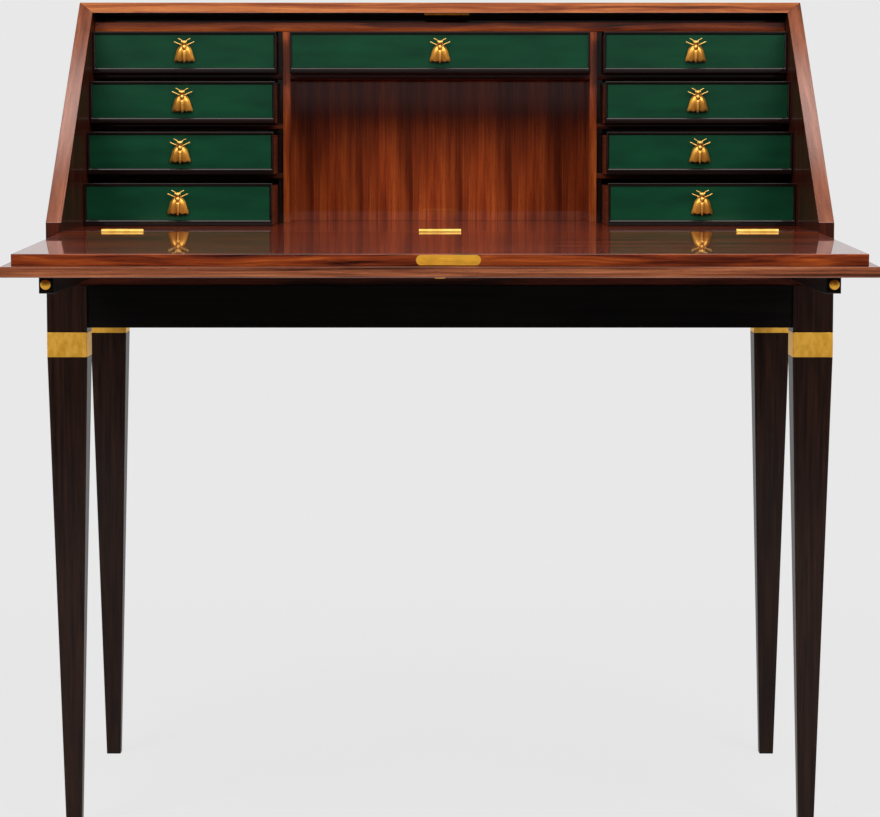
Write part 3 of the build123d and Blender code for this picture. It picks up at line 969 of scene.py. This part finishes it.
def gallery(details):
    """Gallery top, dividers, shelves, guides and the back of the centre compartment."""
    eased_copy("gallery_top", ROOT, "rosewood", details.easing * 1.5, "long")
    eased_copy("gallery_dividers", ROOT, "rosewood", details.easing / 2, "upright")
    # Painted shade: the shelf fronts behind the drawers take the darker shaded finish.
    eased_copy("gallery_shelves", ROOT, "rosewood", details.easing / 2, "shaded_long")
    eased_copy("drawer_guides", ROOT, "secondary_wood", details.easing / 2, "frame")
    eased_copy("centre_back_panel", ROOT, "rosewood", details.easing / 4, "leaves")


def fall(details):
    """Inner board and outer board of the fall."""
    eased_copy(
        "fall_board", "fall", "rosewood", details.easing, "desk", [("swirled", front_edge)]
    )
    eased_copy(
        "fall_lip", "fall", "rosewood_edge", details.easing / 2, "outer", [("lip", front_edge)]
    )


# ---- Drawers ----
def drawer(name, details):
    """Front with its frame, sides, back and bottom; the lacquered panel; both on one body."""
    node = f"drawer_{name}_box"
    body = f"drawer_{name}"
    low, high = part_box(node)
    seam = low.y + FRONT
    front = taken(node, lambda c, n: c.y < seam - MERGE or (c.y < seam + MERGE and n.y > 0.5))
    soften(front, details.easing / 2)
    dress(front, "frame")
    top = high.z - SIDE_DROP
    inside_x = (low.x + DRAWER_SIDE, high.x - DRAWER_SIDE)
    inside_y = high.y - DRAWER_SIDE
    boards = [
        board((low.x, seam, low.z), (inside_x[0], high.y, top)),
        board((inside_x[1], seam, low.z), (high.x, high.y, top)),
        board((inside_x[0], inside_y, low.z), (inside_x[1], high.y, top)),
        board((inside_x[0], seam, low.z), (inside_x[1], inside_y, low.z + DRAWER_BOTTOM)),
    ]
    for piece in boards:
        soften(piece, details.easing / 2)
        dress(piece, "carcass")
    carcass = joined([front, *boards], f"{body}_carcass")
    settle(carcass, body, "dark_mahogany", node)
    eased_copy(f"{body}_panel", body, "green_lacquer", details.easing / 4, "green")


# ---- Bee pulls ----
def wing(details):
    """Right-hand wing, folded back: a grid drawn out row by row, its veins raised."""
    rows = len(WING_ROWS)
    bpy.ops.object.select_all(action="DESELECT")
    bpy.ops.mesh.primitive_grid_add(
        x_subdivisions=WING_COLUMNS - 1, y_subdivisions=rows - 1, size=2.0
    )
    piece = bpy.context.object
    for vertex in piece.data.vertices:
        row = round((1 - vertex.co.y) / 2 * (rows - 1))
        column = round((1 + vertex.co.x) / 2 * (WING_COLUMNS - 1))
        share = column / (WING_COLUMNS - 1)
        inner, outer = (Vector(point) for point in WING_ROWS[row])
        flat = inner.lerp(outer, share)
        lobed = max(row - LOBE_ROW + 1, 0) / (rows - LOBE_ROW)
        flat.y += WING_LOBE * lobed * math.cos(3 * math.pi * share)
        vein = details.vein / MM if column % 2 else 0.0
        fade = min(row, VEIN_ROWS) / VEIN_ROWS
        curl = WING_CURL * (2 * (share - WING_CREST)) ** 2
        rise = WING_RISE[row] - curl + vein * fade
        vertex.co = Vector((flat.x, -rise, flat.y)) * MM
    outward(piece)
    apply_modifier(piece, "SOLIDIFY", thickness=WING_THICK * MM, offset=0.0)
    apply_modifier(piece, "SUBSURF", levels=1, render_levels=1)
    return piece


def mirrored(piece):
    """A piece and its mirror image across the middle of the bee."""
    other = bpy.data.objects.new(piece.name, piece.data.copy())
    bpy.context.collection.objects.link(other)
    other.scale = (-1, 1, 1)
    apply_place(other)
    outward(other)
    return [piece, other]


def bee(details):
    """Gilt bee, facing -Y, its middle at the origin and its post on the plane Y = 0."""
    pieces = mirrored(wing(details))
    for rings in (HEAD, THORAX, ABDOMEN):
        part = turned(rings, BODY_SIDES)
        part.location.y = -BODY_REACH * MM
        apply_place(part)
        apply_modifier(part, "SUBSURF", levels=1, render_levels=1)
        pieces.append(part)
    eye = turned(EYE, EYE_SIDES)
    eye.location = Vector(EYE_PLACE) * MM
    apply_place(eye)
    pieces += mirrored(eye)
    pieces += mirrored(rod(FEELER_PATH, FEELER_RADII))
    pieces += mirrored(rod(FORELEG_PATH, FORELEG_RADII))
    post = turned(POST, BODY_SIDES)
    post.rotation_euler = (math.radians(90), 0, 0)
    apply_place(post)
    pieces.append(post)
    whole = joined(pieces, "bee_pattern")
    outward(whole)
    pick(whole)
    bpy.ops.object.shade_smooth_by_angle(angle=SMOOTH)
    return whole


def pulls(details):
    """A bee on each drawer, cast from one pattern."""
    pattern = bee(details)
    dress(pattern, "gilt")
    for name in DRAWERS:
        node = f"drawer_{name}_bee"
        low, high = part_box(node)
        cast = bpy.data.objects.new(f"{node}_pull", pattern.data.copy())
        bpy.context.collection.objects.link(cast)
        cast.location = ((low.x + high.x) / 2, high.y, low.z + BEE_FOOT)
        apply_place(cast)
        settle(cast, f"drawer_{name}", "gilt_brass", node)
    pick(pattern)
    bpy.ops.object.delete()


# ---- Brass ----
def fittings(details):
    """Hinges, lock, strike, escutcheon, collars and loper knobs."""
    fine = details.easing / 3
    for node, body, metal in (
        ("hinge_case_leaves", ROOT, "brass_pale"),
        ("hinge_fall_leaves", "fall", "brass_pale"),
        ("hinge_pins", ROOT, "brass_pale"),
        ("strike_plate", ROOT, "brass"),
        ("fall_lock", "fall", "brass"),
        ("lock_bolt", "lock_bolt", "brass"),
        ("key_escutcheon", "fall", "brass"),
    ):
        piece = taken(node)
        piece.name = f"{node}_polished"
        soften(piece, fine, shortest=5.0 * MM)
        dress(piece, metal)
        settle(piece, body, "brass", node)
    eased_copy("leg_collars", ROOT, "brass", details.easing / 2, "brass_upright")
    for side in ("left", "right"):
        node = f"loper_knob_{side}"
        low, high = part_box(node)
        knob = turned(KNOB, KNOB_SIDES)
        knob.rotation_euler = (math.radians(90), 0, 0)
        knob.location = ((low.x + high.x) / 2, high.y, (low.z + high.z) / 2)
        apply_place(knob)
        knob.name = f"{node}_turned"
        shade(knob)
        dress(knob, "brass")
        settle(knob, f"loper_{side}", "brass", node)


# ---- Leg frame and lopers ----
def leg_frame(details):
    """Legs, aprons and the two lopers."""
    for end in ("front", "rear"):
        for side in ("left", "right"):
            eased_copy(
                f"leg_{end}_{side}", ROOT, "black_lacquer", details.easing / 2, "black_upright"
            )
    eased_copy("aprons_front_rear", ROOT, "black_lacquer", details.easing / 2, "black_long")
    eased_copy("aprons_side", ROOT, "black_lacquer", details.easing / 2, "black_deep")
    for side in ("left", "right"):
        eased_copy(
            f"loper_{side}", f"loper_{side}", "black_lacquer", details.easing / 2, "black_deep"
        )


# ---- Settings ----
class DeskStageSettings(bpy.types.PropertyGroup):
    focal_px: FloatProperty(
        name="Focal length", description="Focal length in image pixels", default=2980.0
    )
    camera_height: FloatProperty(
        name="Camera height", description="Lens above the floor", default=0.8509, unit="LENGTH"
    )
    camera_distance: FloatProperty(
        name="Camera distance",
        description="Lens in front of the case",
        default=3.5941,
        unit="LENGTH",
    )
    camera_side: FloatProperty(
        name="Camera side step",
        description="Lens to the right of the middle",
        default=0.0,
        unit="LENGTH",
    )
    camera_pitch: FloatProperty(
        name="Camera pitch",
        description="How far the lens looks down",
        default=math.radians(5.24),
        subtype="ANGLE",
    )
    paper: FloatVectorProperty(
        name="Paper",
        description="Colour of the floor and backdrop",
        default=linear("#E8E8E8"),
        subtype="COLOR",
        size=3,
    )
    evenness: FloatProperty(
        name="Evenness",
        description="Share of the paper's brightness that shadows don't change",
        default=0.93,
        subtype="FACTOR",
    )
    paper_front: FloatProperty(
        name="Paper in front",
        description="How far the lit paper reaches in front of the desk",
        default=3.6,
        unit="LENGTH",
    )
    fill: FloatProperty(
        name="Fill", description="Strength of the even light all round", default=0.25
    )
    far_wall: FloatProperty(
        name="Far wall",
        description="Brightness of the wall in front of the desk, above the lens, in reflections",
        default=0.35,
        subtype="FACTOR",
    )
    dark_side: FloatProperty(
        name="Dark side",
        description="Brightness of the studio in front of the desk, as reflections show it",
        default=0.03,
        subtype="FACTOR",
    )
    ceiling_watts: FloatProperty(
        name="Ceiling softbox", description="Power overhead", default=74.0, unit="POWER"
    )
    strip_watts: FloatProperty(
        name="Ceiling strip",
        description="Power of the narrow lamp that the sloping edges mirror",
        default=5.2,
        unit="POWER",
    )
    key_watts: FloatProperty(
        name="Left softbox", description="Power at front left", default=140.0, unit="POWER"
    )
    side_watts: FloatProperty(
        name="Right softbox", description="Power at front right", default=140.0, unit="POWER"
    )


class DeskFinishSettings(bpy.types.PropertyGroup):
    green: FloatVectorProperty(
        name="Green",
        description="Lacquer of the drawer panels",
        default=linear("#083420"),
        subtype="COLOR",
        size=3,
    )
    brass: FloatVectorProperty(
        name="Brass",
        description="Polished brass of the fittings",
        default=linear("#F0B440"),
        subtype="COLOR",
        size=3,
    )
    gilt: FloatVectorProperty(
        name="Gilt",
        description="Gilding of the bees",
        default=linear("#CC8424"),
        subtype="COLOR",
        size=3,
    )


class DeskDetailSettings(bpy.types.PropertyGroup):
    easing: FloatProperty(
        name="Eased edges",
        description="Width of the rounding along a board's edges",
        default=0.8 * MM,
        unit="LENGTH",
    )
    vein: FloatProperty(
        name="Wing veins",
        description="Height of the veins on a bee's wings",
        default=0.55 * MM,
        unit="LENGTH",
    )


# ---- Operators ----
class DESK_OT_stage(bpy.types.Operator):
    """Add the floor, softboxes, world and camera"""

    bl_idname = "desk.stage"
    bl_label = "Stage"

    def execute(self, context):
        stage(context.scene.desk_stage)
        return {"FINISHED"}


class DESK_OT_case(bpy.types.Operator):
    """Veneer the case: sides, top, desk floor, rail, bottom and back"""

    bl_idname = "desk.case"
    bl_label = "Case"

    def execute(self, context):
        case(context.scene.desk_details)
        return {"FINISHED"}


class DESK_OT_gallery(bpy.types.Operator):
    """Veneer the gallery and the back of its centre compartment"""

    bl_idname = "desk.gallery"
    bl_label = "Gallery"

    def execute(self, context):
        gallery(context.scene.desk_details)
        return {"FINISHED"}


class DESK_OT_drawers(bpy.types.Operator):
    """Build the nine drawers with their green panels"""

    bl_idname = "desk.drawers"
    bl_label = "Drawers"

    def execute(self, context):
        for name in DRAWERS:
            drawer(name, context.scene.desk_details)
        return {"FINISHED"}


class DESK_OT_pulls(bpy.types.Operator):
    """Model a bee and cast it for the nine drawers"""

    bl_idname = "desk.pulls"
    bl_label = "Bee Pulls"

    def execute(self, context):
        pulls(context.scene.desk_details)
        return {"FINISHED"}


class DESK_OT_fall(bpy.types.Operator):
    """Veneer the two boards of the fall"""

    bl_idname = "desk.fall"
    bl_label = "Fall"

    def execute(self, context):
        fall(context.scene.desk_details)
        return {"FINISHED"}


class DESK_OT_fittings(bpy.types.Operator):
    """Make the brass fittings"""

    bl_idname = "desk.fittings"
    bl_label = "Brass Fittings"

    def execute(self, context):
        fittings(context.scene.desk_details)
        return {"FINISHED"}


class DESK_OT_leg_frame(bpy.types.Operator):
    """Lacquer the legs, aprons and lopers"""

    bl_idname = "desk.leg_frame"
    bl_label = "Legs and Lopers"

    def execute(self, context):
        leg_frame(context.scene.desk_details)
        return {"FINISHED"}


OPERATORS = (
    DESK_OT_stage,
    DESK_OT_case,
    DESK_OT_gallery,
    DESK_OT_drawers,
    DESK_OT_pulls,
    DESK_OT_fall,
    DESK_OT_fittings,
    DESK_OT_leg_frame,
)


class DESK_PT_sidebar(bpy.types.Panel):
    """Steps and settings of the writing desk"""

    bl_label = "Writing Desk"
    bl_idname = "DESK_PT_sidebar"
    bl_space_type = "VIEW_3D"
    bl_region_type = "UI"
    bl_category = "Writing Desk"

    def draw(self, context):
        for operator in OPERATORS:
            self.layout.operator(operator.bl_idname)
        for group in (
            context.scene.desk_details,
            context.scene.desk_finish,
            context.scene.desk_stage,
        ):
            for name in group.bl_rna.properties.keys():
                if name not in ("rna_type", "name"):
                    self.layout.prop(group, name)


CLASSES = (
    DeskStageSettings,
    DeskFinishSettings,
    DeskDetailSettings,
    *OPERATORS,
    DESK_PT_sidebar,
)


def register():
    for cls in CLASSES:
        bpy.utils.register_class(cls)
    bpy.types.Scene.desk_stage = PointerProperty(type=DeskStageSettings)
    bpy.types.Scene.desk_finish = PointerProperty(type=DeskFinishSettings)
    bpy.types.Scene.desk_details = PointerProperty(type=DeskDetailSettings)


def unregister():
    del bpy.types.Scene.desk_details
    del bpy.types.Scene.desk_finish
    del bpy.types.Scene.desk_stage
    for cls in reversed(CLASSES):
        bpy.utils.unregister_class(cls)


def main():
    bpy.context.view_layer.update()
    register()
    bpy.ops.desk.stage()
    bpy.ops.desk.case()
    bpy.ops.desk.gallery()
    bpy.ops.desk.drawers()
    bpy.ops.desk.pulls()
    bpy.ops.desk.fall()
    bpy.ops.desk.fittings()
    bpy.ops.desk.leg_frame()
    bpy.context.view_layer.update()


if __name__ == "__main__":
    main()
